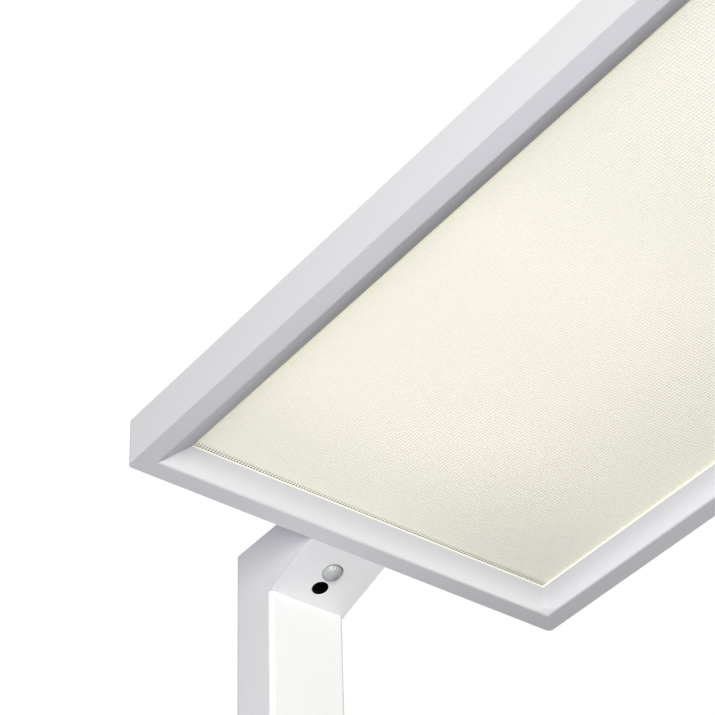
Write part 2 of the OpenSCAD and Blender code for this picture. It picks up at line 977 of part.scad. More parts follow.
// One bent and welded steel piece: foot on the column's end, riser, and arm into the head
module neck_bracket() {
    slot_x0 = lead_x - dc_lead_d / 2 - 1.2;
    slot_x1 = lead_x + lead_bend + 1;
    lead_way = [8, 2 * thin_y + 6];
    lead_way_r = 3;
    screw_play = 0.5;
    stud_play = 0.7;
    small_play = 0.4;
    riser_x = -col_in_x + fit;
    color(plain_metal)
        at_neck()
            difference() {
                union() {
                    translate([riser_x, -col_in_y + fit, -neck_drop])
                        cube([2 * (col_in_x - fit), 2 * (col_in_y - fit), foot_t]);
                    translate([riser_x, -bracket_w / 2, -neck_drop])
                        cube([bracket_t, bracket_w, neck_drop + arm_z + bracket_t]);
                    translate([riser_x, -bracket_w / 2, arm_z])
                        cube([neck_end + arm_grip - riser_x, bracket_w, bracket_t]);
                }
                // way for the leads through the foot and the arm
                translate([lead_x, 0, -neck_drop - over])
                    linear_extrude(foot_t + 2 * over)
                        round_rect(lead_way[0], lead_way[1], lead_way_r);
                translate([(slot_x0 + slot_x1) / 2, 0, arm_z - over])
                    linear_extrude(bracket_t + 2 * over)
                        slot_shape(slot_x1 - slot_x0, dc_lead_d + 2);
                for (sx = [-1, 1], sy = [-1, 1])
                    translate([sx * port_x, sy * port_y, -neck_drop - over])
                        cylinder(d = screw_d + screw_play, h = foot_t + 2 * over);
                translate([neck_end, 0, 0])
                    at_studs()
                        translate([0, 0, -over])
                            cylinder(d = stud_d + stud_play, h = bracket_t + 2 * over);
                at_shelf_screws()
                    translate([0, 0, -over])
                        cylinder(d = small_d + small_play, h = bracket_t + 2 * over);
            }
}

// Puts children on the tray's four studs, in the head's frame
module at_studs() {
    for (sx = [-1, 1], sy = [-1, 1])
        translate([arm_mid + sx * stud_pitch_x / 2, sy * stud_pitch_y / 2, arm_z])
            children();
}

// Screws down through the bracket's foot into the column's ports
module neck_screws() {
    color(plain_metal)
        at_ports()
            translate([0, 0, col_top + foot_t])
                pan_screw(d = shank_d, shank = 26, head = head_d, head_h = 4);
}

// ---- sensors ----

// A block between shell and board, with a pocket behind each window
module sensor_carrier() {
    pocket_h = carrier_h + 2 * over;
    color(dark)
        on_slope()
            difference() {
                translate([sensor_x0, -sensor_w / 2, neck_wall])
                    cube([sensor_len, sensor_w, carrier_h]);
                translate([pir_along, 0, neck_wall - over])
                    cylinder(d = pir_d + 2 * (slip + pocket_gap), h = pocket_h);
                translate([eye_along, 0, neck_wall - over])
                    cylinder(d = eye_d + 2 * (slip + pocket_gap), h = pocket_h);
            }
}

// Board on the carrier, with the plug that the sensor lead runs into
module sensor_board() {
    color(board_green)
        difference() {
            on_slope()
                translate([sensor_x0, -sensor_w / 2, neck_wall + carrier_h]) {
                    cube([sensor_len, sensor_w, board_t]);
                    // plug for the sensor lead
                    translate([plug_x0, sensor_w / 2 + thin_y - plug_w / 2, board_t])
                        cube([plug_w, plug_w, plug_h]);
                }
            at_neck()
                translate([0, thin_y, sensor_plug_z])
                    rotate([0, 90, 0])
                        cylinder(d = thin_lead_d + slip, h = sensor_plug_x);
        }
}

module presence_sensor() {
    can_d = 9;
    can_h = carrier_h - 1.6;
    color(plain_metal)
        on_slope()
            translate([pir_along, 0, neck_wall + carrier_h - can_h])
                cylinder(d = can_d, h = can_h);
}

// How far the lens stands out at radius x, on a ball that spans radius r
function dome_z(x, r) = let (ball = (r * r + pir_dome * pir_dome) / (2 * pir_dome))
    ball - pir_dome - sqrt(ball * ball - x * x);

// A lens domed in narrow rings, held behind the wall by its flange
module presence_lens() {
    r = pir_d / 2;
    skin = 0.8;
    rings = 7;
    flange_z1 = neck_wall + lens_flange;
    outside = [for (i = [1:rings]) let (x = r * i / rings) [x, dome_z(x, r)]];
    inside = [for (i = [rings:-1:1]) let (x = r * i / rings) [x * (r - skin) / r, dome_z(x, r) + skin]];
    color(frost)
        on_slope()
            translate([pir_along, 0, 0])
                rotate_extrude()
                    polygon(concat(
                        [[0, outside[0][1]]], outside,
                        [[r, neck_wall], [r + lens_flange, neck_wall]],
                        [[r + lens_flange, flange_z1], [r - skin, flange_z1]],
                        inside, [[0, inside[rings - 1][1]]]
                    ));
}

module light_sensor() {
    chip_w = 5;
    chip_h = 2.2;
    color(dark)
        on_slope()
            translate([eye_along - chip_w / 2, -chip_w / 2, neck_wall + carrier_h - chip_h])
                cube([chip_w, chip_w, chip_h]);
}

// A dark window, set back a little from the neck's face
module light_window() {
    color(dark)
        on_slope()
            translate([eye_along, 0, 0]) {
                translate([0, 0, eye_inset])
                    cylinder(d = eye_d, h = neck_wall - eye_inset + lens_flange);
                translate([0, 0, neck_wall])
                    cylinder(d = eye_d + 2 * lens_flange, h = lens_flange);
            }
}

// ---- head frame ----

// Section of a rail in [p, z]
module rail_section() {
    web_rise = web_t / cos(bevel_angle);
    seat_p = inner_p - seat_w;
    turn_top = rim_t * 0.8;
    below = 0.1;
    union() {
        square([rail_wall, head_t]);
        // rim, with the bevelled web up to the lip
        polygon([
            [0, 0], [rim_w - round_run, 0],
            [rim_w + round_run * cos(bevel_angle), round_run * sin(bevel_angle)],
            [inner_p, bevel_rise], [inner_p, lip_top], [seat_p, lip_top],
            [seat_p, (seat_p - rim_w) * tan(bevel_angle) + web_rise],
            [rim_w - (web_rise - rim_t) / tan(bevel_angle), rim_t], [0, rim_t]
        ]);
        // the round turn from rim to bevel
        intersection() {
            translate([rim_w - round_run, rim_round])
                circle(r = rim_round);
            polygon([
                [rim_w - round_run, -below], [rim_w, -below],
                [rim_w + round_run * cos(bevel_angle), round_run * sin(bevel_angle)],
                [rim_w, turn_top], [rim_w - round_run, turn_top]
            ]);
        }
        rib(tray_z - rib_t, tray_rib);
        rib(key_z - rib_t, key_rib);
        rib(key_z + key_t + slip, key_rib);
        rib(ledge_z - rib_t, ledge_rib);
    }
}

module rib(z, reach) {
    translate([rail_wall / 2, z])
        square([reach - rail_wall / 2, rib_t]);
}

// A mitred rail of outer length len along x, with its outer face at y = 0 and its inside towards +y
module mitred_rail(len) {
    reach = inner_p + over;
    intersection() {
        rotate([90, 0, 90])
            linear_extrude(len)
                rail_section();
        linear_extrude(head_t)
            polygon([[0, 0], [len, 0], [len - reach, reach], [reach, reach]]);
    }
}

// Rounds the head's upright corners and bores the ledge for the cover's screws
module finish_rail() {
    difference() {
        intersection() {
            children();
            translate([head_len / 2, 0, -over])
                linear_extrude(head_t + 2 * over)
                    round_rect(head_len, head_w, head_corner_r);
        }
        at_cover_screws()
            translate([0, 0, -cover_screw_depth])
                cylinder(d = small_pilot, h = cover_screw_depth + over);
    }
}

// Puts children at the cover's six screws, on the rails' ledge
module at_cover_screws() {
    for (x = [cover_screw_x, head_len / 2, head_len - cover_screw_x], s = [-1, 1])
        translate([x, s * (head_w / 2 - cover_screw_p), ledge_z])
            children();
}

module rail_left() {
    color(head_white)
        at_head()
            finish_rail()
                translate([head_len, head_w / 2, 0])
                    rotate([0, 0, 180])
                        mitred_rail(head_len);
}

module rail_right() {
    color(head_white)
        at_head()
            finish_rail()
                translate([0, -head_w / 2, 0])
                    mitred_rail(head_len);
}

// The rail at the column has a gate for the bracket's arm
module rail_column_end() {
    color(head_white)
        at_head()
            difference() {
                finish_rail()
                    translate([0, head_w / 2, 0])
                        rotate([0, 0, -90])
                            mitred_rail(head_w);
                translate([-over, -gate_w / 2, gate_z0])
                    cube([key_rib + 2 * over, gate_w, gate_z1 - gate_z0]);
            }
}

module rail_far_end() {
    color(head_white)
        at_head()
            finish_rail()
                translate([head_len, -head_w / 2, 0])
                    rotate([0, 0, 90])
                        mitred_rail(head_w);
}

// L-shaped keys that lie in the rails' upper channel and hold the mitres
module corner_keys() {
    near = rail_wall + slip;
    far = near + key_w;
    color(plain_metal)
        at_head()
            for (end = [0, 1], s = [-1, 1])
                translate([end * head_len, s * head_w / 2, key_z])
                    mirror([end, 0, 0])
                        mirror([0, (s + 1) / 2, 0])
                            linear_extrude(key_t)
                                polygon([
                                    [near, near], [key_leg, near], [key_leg, far],
                                    [far, far], [far, key_leg], [near, key_leg]
                                ]);
}

// ---- light panel ----

// A sheet that fills the seat, from height z
module seat_sheet(z, t) {
    at_head()
        translate([sheet_p, -head_w / 2 + sheet_p, z])
            cube([head_len - 2 * sheet_p, head_w - 2 * sheet_p, t]);
}

module prismatic_panel() {
    color(cream)
        seat_sheet(lip_top, panel_t);
}

module diffuser_film() {
    color(frost)
        seat_sheet(lip_top + panel_t, film_t);
}

module light_guide() {
    color(frost)
        seat_sheet(lip_top + panel_t + film_t, guide_t);
}

module reflector_sheet() {
    color(board_white)
        seat_sheet(tray_z - reflector_t, reflector_t);
}

// Edge bar along the long rail at -y: an upright board whose LEDs face the light guide
module led_bar() {
    count = floor((bar_len - led_pitch) / led_pitch) + 1;
    guide_mid = lip_top + panel_t + film_t + guide_t / 2;
    translate([(head_len - bar_len) / 2, -head_w / 2 + bar_face - bar_board_t, bar_z0])
        cube([bar_len, bar_board_t, tray_z - bar_z0]);
    for (i = [0:count - 1])
        translate([head_len / 2 + (i - (count - 1) / 2) * led_pitch - led_side / 2,
                   -head_w / 2 + bar_face - merge, guide_mid - led_side / 2])
            cube([led_side, led_h + merge, led_side]);
}

module led_bar_right() {
    color(board_white)
        at_head()
            led_bar();
}

module led_bar_left() {
    color(board_white)
        at_head()
            mirror([0, 1, 0])
                led_bar();
}

// Tray on the rails' lower rib, with a strip behind each edge bar and four studs for the arm
module head_tray() {
    strip_y = head_w / 2 - bar_face + bar_board_t;
    stud_h = tray_t + bracket_t + 5;
    corner_cut = 4;
    color(plain_metal)
        at_head()
            difference() {
                union() {
                    translate([tray_p, -head_w / 2 + tray_p, tray_z])
                        cube([head_len - 2 * tray_p, head_w - 2 * tray_p, tray_t]);
                    for (s = [0, 1])
                        mirror([0, s, 0])
                            translate([(head_len - bar_len) / 2, strip_y, bar_z0])
                                cube([bar_len, strip_t, tray_z - bar_z0 + strip_root]);
                    at_studs()
                        translate([0, 0, -tray_t])
                            cylinder(d = stud_d, h = stud_h);
                }
                // corners cleared for the mitred ribs
                for (x = [tray_p, head_len - tray_p], s = [-1, 1])
                    translate([x, s * (head_w / 2 - tray_p), tray_z + tray_t / 2])
                        cube([corner_cut, corner_cut, tray_t + over], center = true);
            }
}

// Nuts that clamp the bracket's arm to the tray
module arm_nuts() {
    nut_d = 9.2;
    nut_t = 4;
    color(plain_metal)
        at_head()
            at_studs()
                translate([0, 0, bracket_t])
                    difference() {
                        cylinder(d = nut_d, h = nut_t, $fn = 6);
                        translate([0, 0, -over])
                            cylinder(d = stud_d + 2 * slip, h = nut_t + 2 * over);
                    }
}

// Two rows of boards that light the ceiling through the top lens
module upper_led_boards() {
    color(board_white)
        at_head()
            for (s = [-1, 1], k = [0:up_rows - 1])
                translate([up_x0 + k * (up_board_len + up_gap), s * head_w / 6 - up_board_w / 2, tray_top]) {
                    cube([up_board_len, up_board_w, board_t]);
                    for (i = [0:up_leds - 1])
                        translate([up_board_len * (i + 0.5) / up_leds - led_side / 2,
                                   (up_board_w - led_side) / 2, board_t - merge])
                            cube([led_side, led_side, led_h + merge]);
                }
}

// Plug-in terminal where the lead from the column ends
module head_terminal() {
    side = 14;
    roof = 0.4;
    clamp_x = 9;
    clamp_d = 2.4;
    color(frost)
        at_head()
            translate([terminal_at, 0, tray_top])
                difference() {
                    translate([0, -side / 2, 0])
                        cube([side, side, lead_z - tray_top + dc_lead_d / 2 + roof]);
                    for (y = [-3, 3])
                        translate([clamp_x, y, lead_z - tray_top])
                            cylinder(d = clamp_d, h = dc_lead_d / 2 + roof + over);
                }
}

// ---- top ----

// The upper window in plan, grown by more on every side
module window_shape(more) {
    translate([window_setback - more, -head_w / 2 + window_border - more])
        square([head_len - window_setback - window_border + 2 * more, head_w - 2 * (window_border - more)]);
}

// Closed border that lies on the rails' ledge, with a window for the upward light
module top_cover() {
    edge_in = rail_wall + fit;
    color(head_white)
        at_head()
            difference() {
                translate([head_len / 2, 0, ledge_z])
                    linear_extrude(cover_t)
                        round_rect(head_len - 2 * edge_in, head_w - 2 * edge_in, cover_r);
                translate([0, 0, ledge_z - over])
                    linear_extrude(cover_t + 2 * over)
                        window_shape(0);
                at_cover_screws() {
                    translate([0, 0, -over])
                        cylinder(d = small_d + 2 * slip, h = cover_t + 2 * over);
                    translate([0, 0, cover_t])
                        countersink(small_d, cover_head_d);
                }
            }
}

// Satin sheet taped under the cover around its window
module top_lens() {
    color(frost)
        at_head()
            translate([0, 0, ledge_z - top_lens_t])
                linear_extrude(top_lens_t)
                    window_shape(lens_tape);
}

module cover_screws() {
    color(plain_metal)
        at_head()
            at_cover_screws()
                translate([0, 0, cover_t])
                    rotate([180, 0, 0])
                        flat_screw(small_d, cover_t + rib_t + cover_screw_out, cover_head_d);
}

base_plate();
foot_pads();
foot_screws();
column();
cable_gland();
gland_nut();
carrier_plate();
mains_terminal();
driver();
driver_screws();
input_lead();
dc_lead();
sensor_lead();
control_lead();
control_bezel();
control_board();
board_screws();
button_power();
button_brighter();
button_dimmer();
neck_shell();
neck_lid();
lid_screws();
neck_bracket();
neck_screws();
shell_screws();
sensor_carrier();
sensor_board();
presence_sensor();
presence_lens();
light_sensor();
light_window();
rail_left();
rail_right();
rail_column_end();
rail_far_end();
corner_keys();
prismatic_panel();
diffuser_film();
light_guide();
reflector_sheet();
led_bar_left();
led_bar_right();
head_tray();
upper_led_boards();
head_terminal();
arm_nuts();
top_cover();
top_lens();
cover_screws();
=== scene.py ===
import json
import math
import bpy
import bmesh
import numpy as np
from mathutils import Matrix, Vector

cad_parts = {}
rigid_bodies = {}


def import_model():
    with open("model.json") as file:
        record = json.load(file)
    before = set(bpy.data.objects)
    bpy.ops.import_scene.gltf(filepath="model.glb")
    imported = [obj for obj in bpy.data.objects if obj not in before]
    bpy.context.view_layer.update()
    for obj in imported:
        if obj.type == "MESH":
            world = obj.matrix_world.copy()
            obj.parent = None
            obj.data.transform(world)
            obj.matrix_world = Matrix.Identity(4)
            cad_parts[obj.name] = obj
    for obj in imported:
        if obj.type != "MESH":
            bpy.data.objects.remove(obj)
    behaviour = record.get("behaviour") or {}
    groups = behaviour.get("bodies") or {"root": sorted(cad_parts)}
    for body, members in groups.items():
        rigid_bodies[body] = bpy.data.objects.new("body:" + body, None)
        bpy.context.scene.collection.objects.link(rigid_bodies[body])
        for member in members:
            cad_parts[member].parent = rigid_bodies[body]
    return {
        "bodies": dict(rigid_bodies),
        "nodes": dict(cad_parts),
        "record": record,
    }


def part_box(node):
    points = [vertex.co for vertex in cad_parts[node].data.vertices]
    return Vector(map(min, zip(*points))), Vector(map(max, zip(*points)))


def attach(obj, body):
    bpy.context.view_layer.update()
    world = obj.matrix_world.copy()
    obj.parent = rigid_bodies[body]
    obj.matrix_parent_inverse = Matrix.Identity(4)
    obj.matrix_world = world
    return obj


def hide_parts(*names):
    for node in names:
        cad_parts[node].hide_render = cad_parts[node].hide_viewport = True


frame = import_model()
nodes = frame["nodes"]
for item in list(bpy.data.objects):  # the startup cube, camera and light
    if item.name not in nodes and item not in frame["bodies"].values():
        bpy.data.objects.remove(item)
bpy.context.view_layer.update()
scene = bpy.context.scene
mm = 0.001
print("frame loaded:", len(nodes), "nodes")


class Wire:
    # one output of a shader node, used in sums like a number
    def __init__(self, paint, socket):
        self.paint = paint
        self.socket = socket

    def math(self, operation, one, other=0.0):
        return self.paint.make("ShaderNodeMath", {"operation": operation}, {0: one, 1: other})

    def __add__(self, other):
        return self.math("ADD", self, other)

    def __sub__(self, other):
        return self.math("SUBTRACT", self, other)

    def __rsub__(self, other):
        return self.math("SUBTRACT", other, self)

    def __mul__(self, other):
        return self.math("MULTIPLY", self, other)

    def __truediv__(self, other):
        return self.math("DIVIDE", self, other)

    def __pow__(self, other):
        return self.math("POWER", self, other)

    def __abs__(self):
        return self.math("ABSOLUTE", self)

    __radd__ = __add__
    __rmul__ = __mul__

    def atLeast(self, other):
        return self.math("MAXIMUM", self, other)

    def ease(self, start, end, first=0.0, last=1.0):
        # goes smoothly from first to last while this value goes from start to end
        return self.paint.make("ShaderNodeMapRange", {"interpolation_type": "SMOOTHSTEP"}, {
            "Value": self, "From Min": start, "From Max": end, "To Min": first, "To Max": last}, "Result")


class Paint:
    # a node tree: a material, or the studio's sky
    def __init__(self, holder):
        holder.use_nodes = True
        self.holder = holder
        self.tree = holder.node_tree

    def make(self, kind, settings=None, values=None, out=0):
        node = self.tree.nodes.new(kind)
        for key, value in (settings or {}).items():
            setattr(node, key, value)
        for key, value in (values or {}).items():
            self.feed(node.inputs[key], value)
        if out == "all":
            return [Wire(self, output) for output in node.outputs]
        return Wire(self, node.outputs[out]) if node.outputs else None

    def feed(self, socket, value):
        if isinstance(value, Wire):
            self.tree.links.new(value.socket, socket)
        elif socket.type == "RGBA":
            socket.default_value = (*value[:3], 1)
        else:
            socket.default_value = value

    def place(self):
        return self.make("ShaderNodeTexCoord", out="Object")

    def axes(self, vector):
        return self.make("ShaderNodeSeparateXYZ", None, {0: vector}, "all")

    def noise(self, size, detail=2.0):
        # size is the width of a speck in metres
        return self.make("ShaderNodeTexNoise", None, {
            "Vector": self.place(), "Scale": 1 / size, "Detail": detail}, "Fac")

    def cells(self, size):
        return self.make("ShaderNodeTexVoronoi", None, {"Vector": self.place(), "Scale": 1 / size}, "Distance")

    def blend(self, amount, one, other):
        return self.make("ShaderNodeMix", {"data_type": "RGBA"}, {0: amount, 6: one, 7: other}, 2)

    def bump(self, height, strength, depth):
        return self.make("ShaderNodeBump", None, {
            "Height": height, "Strength": strength, "Distance": depth}, "Normal")

    def done(self, **values):
        shader = self.tree.nodes["Principled BSDF"]
        for key, value in values.items():
            self.feed(shader.inputs[key.replace("_", " ")], value)
        return self.holder


def newPaint(name):
    return Paint(bpy.data.materials.new(name))


def darker(colour, share):
    return [share * part for part in colour]


# Camera: its place was found from the head's own edges in the photograph
cameraSet = {
    "place": (0.7142, -0.7314, 1.0951), "turn": (128.651, 1.544, 53.676), "lens": 128.22, "sensor": 36.0,
    "near": 0.05,
}


def setCamera():
    data = bpy.data.cameras.new("camera")
    data.lens = cameraSet["lens"]
    data.sensor_width = cameraSet["sensor"]
    data.clip_start = cameraSet["near"]
    camera = bpy.data.objects.new("camera", data)
    scene.collection.objects.link(camera)
    camera.location = cameraSet["place"]
    camera.rotation_euler = [math.radians(angle) for angle in cameraSet["turn"]]
    scene.camera = camera


# Studio: a pale sky that is brightest overhead, and soft lights on the lamp alone
studio = {
    "floor": (0.86, 0.86, 0.86), "floorGlow": 0.5, "floorHalf": 40.0, "aim": (-0.15, 0.0, 1.93),
    "skySeen": 1.02, "skyTop": 1.4, "skyAround": 0.055,
    "skyFrom": 0.8,  # the sky grows brighter from this height, where 1 is straight up
    "lights": {
        "key": {"place": (1.953, -1.128, 1.109), "size": 1.6, "power": 66.0, "tone": (0.982, 1.0, 0.90)},
        "side": {"place": (-0.15, -1.410, 1.417), "size": 0.8, "power": 8.1, "tone": (0.89, 0.90, 1.0)},
        "fill": {"place": (0.589, -1.020, 1.381), "size": 0.8, "power": 2.9, "tone": (1.0, 0.925, 0.73)},
        "low": {"place": (0.25, -0.35, 1.35), "size": 0.5, "power": 1.2, "tone": (0.73, 0.70, 1.0)},
        "rear": {"place": (-2.88, 2.73, 3.03), "size": 2.2, "power": 155.0, "tone": (1.0, 1.0, 1.0)},
        "above": {"place": (0.05, 0.0, 2.95), "size": 1.2, "power": 3.2, "tone": (1.0, 1.0, 1.0)},
    },
}


def setStudio():
    paint = newPaint("studio_floor")
    cloud = paint.noise(0.7)
    paint.done(Base_Color=paint.blend(cloud * 0.3, studio["floor"], darker(studio["floor"], 0.97)),
               Roughness=0.7, Emission_Color=studio["floor"], Emission_Strength=studio["floorGlow"])
    half = studio["floorHalf"]
    corners = [(-half, -half, 0), (half, -half, 0), (half, half, 0), (-half, half, 0)]
    mesh = bpy.data.meshes.new("floor")
    mesh.from_pydata(corners, [], [(0, 1, 2, 3)])
    mesh.materials.append(paint.holder)
    floor = bpy.data.objects.new("floor", mesh)
    scene.collection.objects.link(floor)
    floor.visible_diffuse = False  # what the floor throws back is part of the sky around
    floor.visible_glossy = False
    floor.visible_shadow = False
    unlit = bpy.data.collections.new("unlit")
    unlit.objects.link(floor)
    for name, light in studio["lights"].items():
        data = bpy.data.lights.new(name, "AREA")
        data.size = light["size"]
        data.energy = light["power"]
        data.color = light["tone"]
        lamp = bpy.data.objects.new(name, data)
        scene.collection.objects.link(lamp)
        lamp.location = light["place"]
        lamp.rotation_euler = (Vector(studio["aim"]) - lamp.location).to_track_quat("-Z", "Y").to_euler()
        lamp.visible_camera = False
        lamp.light_linking.receiver_collection = unlit
    unlit.collection_objects[0].light_linking.link_state = "EXCLUDE"  # the lights pass over the floor


def setSky():
    sky = Paint(bpy.data.worlds.new("sky"))
    sky.tree.nodes.clear()
    white = (1.0, 1.0, 1.0)
    up = sky.axes(sky.make("ShaderNodeTexCoord", out="Generated"))[2]
    strength = up.ease(studio["skyFrom"], 1.0, studio["skyAround"], studio["skyTop"])
    lit = sky.make("ShaderNodeBackground", None, {"Color": white, "Strength": strength})
    seen = sky.make("ShaderNodeBackground", None, {"Color": white, "Strength": studio["skySeen"]})
    byCamera = sky.make("ShaderNodeLightPath", out="Is Camera Ray")
    both = sky.make("ShaderNodeMixShader", None, {0: byCamera, 1: lit, 2: seen})
    sky.make("ShaderNodeOutputWorld", None, {"Surface": both})
    scene.world = sky.holder


setCamera()
setStudio()
setSky()
scene.view_settings.view_transform = "Standard"
print("camera and studio set")


# The head's outline, from its rails
headLow = Vector((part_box("rail_column_end")[0].x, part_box("rail_right")[0].y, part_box("rail_left")[0].z))
headHigh = Vector((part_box("rail_far_end")[1].x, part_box("rail_left")[1].y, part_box("rail_left")[1].z))
headMiddle = (headLow + headHigh) / 2
lipIn = 25.5 * mm  # from the head's outer face to the lip's edge
rimIn = 12.5 * mm  # from the head's outer face to the bevel
lipUp = 8.5 * mm  # from the rim up to the lip's lower edge
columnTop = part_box("column")[1].z


# Finishes
coatLook = {
    "tone": (0.80, 0.795, 0.825), "shade": (0.77, 0.765, 0.795), "pebble": 0.4 * mm, "peel": 2.4 * mm,
    "drift": 350 * mm, "bump": 0.05, "depth": 0.2 * mm,
    "coveShade": 0.82,  # painted shade: the bevel's tone at the lip, as a share of its tone at its outer edge
    "farShade": 0.66,  # the same share of painted shade on the far half of the -y rail, which faces away from the light
    "farBefore": 60 * mm,  # that painted shade is reached so far before the head's middle
    "lipPaintedLitTone": (0.77, 0.77, 0.73), "lipPaintedGlow": (1.0, 0.99, 0.88),  # painted light: the lip's inner face is painted warmer and given a glow, for the panel's light on it
    "bevelPaintedGlow": (0.78, 0.79, 0.86), "glowStrength": 0.1,  # the same painted light, as a faint painted glow on the bevel
    "litFrom": -50 * mm, "litTo": 100 * mm,  # it grows with y between these places beside the head's middle
    "litFade": 0.7,  # and is weaker by this share at the lip
    "blur": 0.1 * mm, "lipBlur": 1 * mm,
}


def powderCoat(name, roughness, cove=False):
    # a fine, slightly pebbled coat with a faint drift in tone
    paint = newPaint(name)
    pebble = paint.noise(coatLook["pebble"], 3.0)
    peel = paint.noise(coatLook["peel"], 1.0)
    drift = paint.noise(coatLook["drift"], 1.0)
    spread = drift.ease(0.35, 0.65) * 0.4 + pebble.ease(0.3, 0.7) * 0.4
    tone = paint.blend(spread, coatLook["tone"], coatLook["shade"])
    if cove:
        shaded, away, lip, lit = coveMasks(paint)
        # painted shade: the bevel's tone is darkened towards the lip, and more on the far half of the -y rail
        share = away * (coatLook["farShade"] - coatLook["coveShade"]) + coatLook["coveShade"]
        deep = paint.make("ShaderNodeVectorMath", {"operation": "SCALE"}, {0: tone, "Scale": share})
        # painted light: the lip's inner face takes a warmer lit tone, and lip and bevel a painted glow, for
        # the panel's light on them
        tone = paint.blend(lip, paint.blend(shaded, tone, deep), coatLook["lipPaintedLitTone"])
        glow = paint.blend(lit, (0.0, 0.0, 0.0), coatLook["bevelPaintedGlow"])
        paint.done(Emission_Color=paint.blend(lip, glow, coatLook["lipPaintedGlow"]),
                   Emission_Strength=coatLook["glowStrength"])
    rough = roughness + (pebble - 0.5) * 0.12 + (drift - 0.5) * 0.06
    normal = paint.bump(pebble * 0.35 + peel * 0.65, coatLook["bump"], coatLook["depth"])
    return paint.done(Base_Color=tone, Roughness=rough, Normal=normal)


def coveMasks(paint):
    # masks for painted shade and painted light: 0 at the rim to 1 at the lip, with round corners, for the
    # painted shade;
    # 1 on the far half of the -y rail's bevel, for its deeper painted shade; 1 on the lip's inner face, for
    # its painted light; how much painted glow of the panel's light the bevel gets
    x, y, z = paint.axes(paint.place())
    blur, bevelWide = coatLook["blur"], lipIn - rimIn
    pastX = (abs(x - headMiddle.x) - (headHigh.x - headMiddle.x - lipIn)).atLeast(0.0)
    pastY = (abs(y - headMiddle.y) - (headHigh.y - headMiddle.y - lipIn)).atLeast(0.0)
    toLip = (pastX * pastX + pastY * pastY) ** 0.5
    above = z.ease(headLow.z + lipUp - blur, headLow.z + lipUp + blur)
    minusHalf = y.ease(headMiddle.y - coatLook["lipBlur"], headMiddle.y, 1.0, 0.0)
    minusRail = minusHalf * (pastY - pastX).ease(-blur, blur)
    bevel = toLip.ease(bevelWide - blur, bevelWide + blur, 1.0, 0.0) * (1.0 - above)
    shaded = toLip.ease(0.0, bevelWide, 1.0, 0.0) * (1.0 - above)
    away = minusRail * x.ease(headLow.x, headMiddle.x - coatLook["farBefore"])
    lip = above * toLip.ease(0.0, coatLook["lipBlur"], 1.0, 0.0)
    lit = minusRail * x.ease(headLow.x, headMiddle.x, 1.0, 0.0)
    lit = lit + y.ease(headMiddle.y + coatLook["litFrom"], headMiddle.y + coatLook["litTo"])
    return shaded, away, lip, lit * bevel * (1.0 - shaded * coatLook["litFade"])


def zincSteel(name, tone, roughness):
    paint = newPaint(name)
    spangle = paint.cells(4 * mm)
    scratch = paint.noise(1.1 * mm, 4.0)
    colour = paint.blend(spangle.ease(0.1, 0.7) * 0.6 + scratch * 0.2, tone, darker(tone, 0.82))
    rough = roughness + spangle * 0.1 + (scratch - 0.5) * 0.1
    return paint.done(Base_Color=colour, Metallic=1.0, Roughness=rough,
                      Normal=paint.bump(scratch, 0.04, 0.2 * mm))


def mouldedPlastic(name, tone, roughness):
    # spark-eroded grain of a moulded part
    paint = newPaint(name)
    grain = paint.noise(0.6 * mm, 3.0)
    cloud = paint.noise(50 * mm)
    spread = grain.ease(0.3, 0.7) * 0.35 + cloud.ease(0.35, 0.65) * 0.2
    colour = paint.blend(spread, tone, darker(tone, 0.86))
    rough = roughness + (grain - 0.5) * 0.16
    return paint.done(Base_Color=colour, Roughness=rough, Normal=paint.bump(grain, 0.12, 0.2 * mm))


buttonLook = {
    "tone": (0.68, 0.68, 0.69), "mark": (0.12, 0.12, 0.125), "markReach": 4.6 * mm, "markDepth": 0.3 * mm,
}


def buttonPlastic(node):
    # a moulded cap, with dark grey paint in the mark sunk in its face
    low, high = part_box(node)
    reach, depth = buttonLook["markReach"], buttonLook["markDepth"]
    paint = newPaint(node)
    grain = paint.noise(0.9 * mm, 3.0)
    x, y, z = paint.axes(paint.place())
    outY, outZ = y - (low.y + high.y) / 2, z - (low.z + high.z) / 2
    fromMiddle = (outY * outY + outZ * outZ) ** 0.5
    inFace = fromMiddle.ease(reach, reach + 0.2 * mm, 1.0, 0.0)
    deep = x.ease(high.x - 0.9 * depth, high.x - 0.3 * depth, 1.0, 0.0)
    colour = paint.blend(grain.ease(0.3, 0.7) * 0.3, buttonLook["tone"], darker(buttonLook["tone"], 0.88))
    colour = paint.blend(deep * inFace, colour, buttonLook["mark"])
    return paint.done(Base_Color=colour, Roughness=0.4 + (grain - 0.5) * 0.16,
                      Normal=paint.bump(grain, 0.1, 0.2 * mm))


def footRubber():
    paint = newPaint("foot_rubber")
    grain = paint.noise(0.8 * mm, 3.0)
    dust = paint.noise(14 * mm, 3.0).ease(0.45, 0.75)
    colour = paint.blend(dust * 0.5, (0.022, 0.022, 0.023), (0.06, 0.058, 0.055))
    return paint.done(Base_Color=colour, Roughness=0.78 + (grain - 0.5) * 0.2,
                      Normal=paint.bump(grain, 0.2, 0.3 * mm))


def circuitBoard(name, mask, track):
    # solder mask with faint copper runs below it
    paint = newPaint(name)
    runs = paint.make("ShaderNodeTexBrick", {"offset": 0.5}, {
        "Vector": paint.place(), "Scale": 170.0, "Color1": mask, "Color2": mask, "Mortar": track,
        "Mortar Size": 0.04}, "Color")
    grain = paint.noise(1.1 * mm)
    return paint.done(Base_Color=paint.blend(grain * 0.15, runs, darker(mask, 0.8)),
                      Roughness=0.3 + grain * 0.1)


def darkGlass():
    paint = newPaint("dark_window")
    haze = paint.noise(3 * mm)
    colour = paint.blend(haze * 0.3, (0.0004, 0.0004, 0.0004), (0.0012, 0.0012, 0.0014))
    return paint.done(Base_Color=colour, Roughness=0.12 + haze * 0.06, Specular_IOR_Level=0.03)


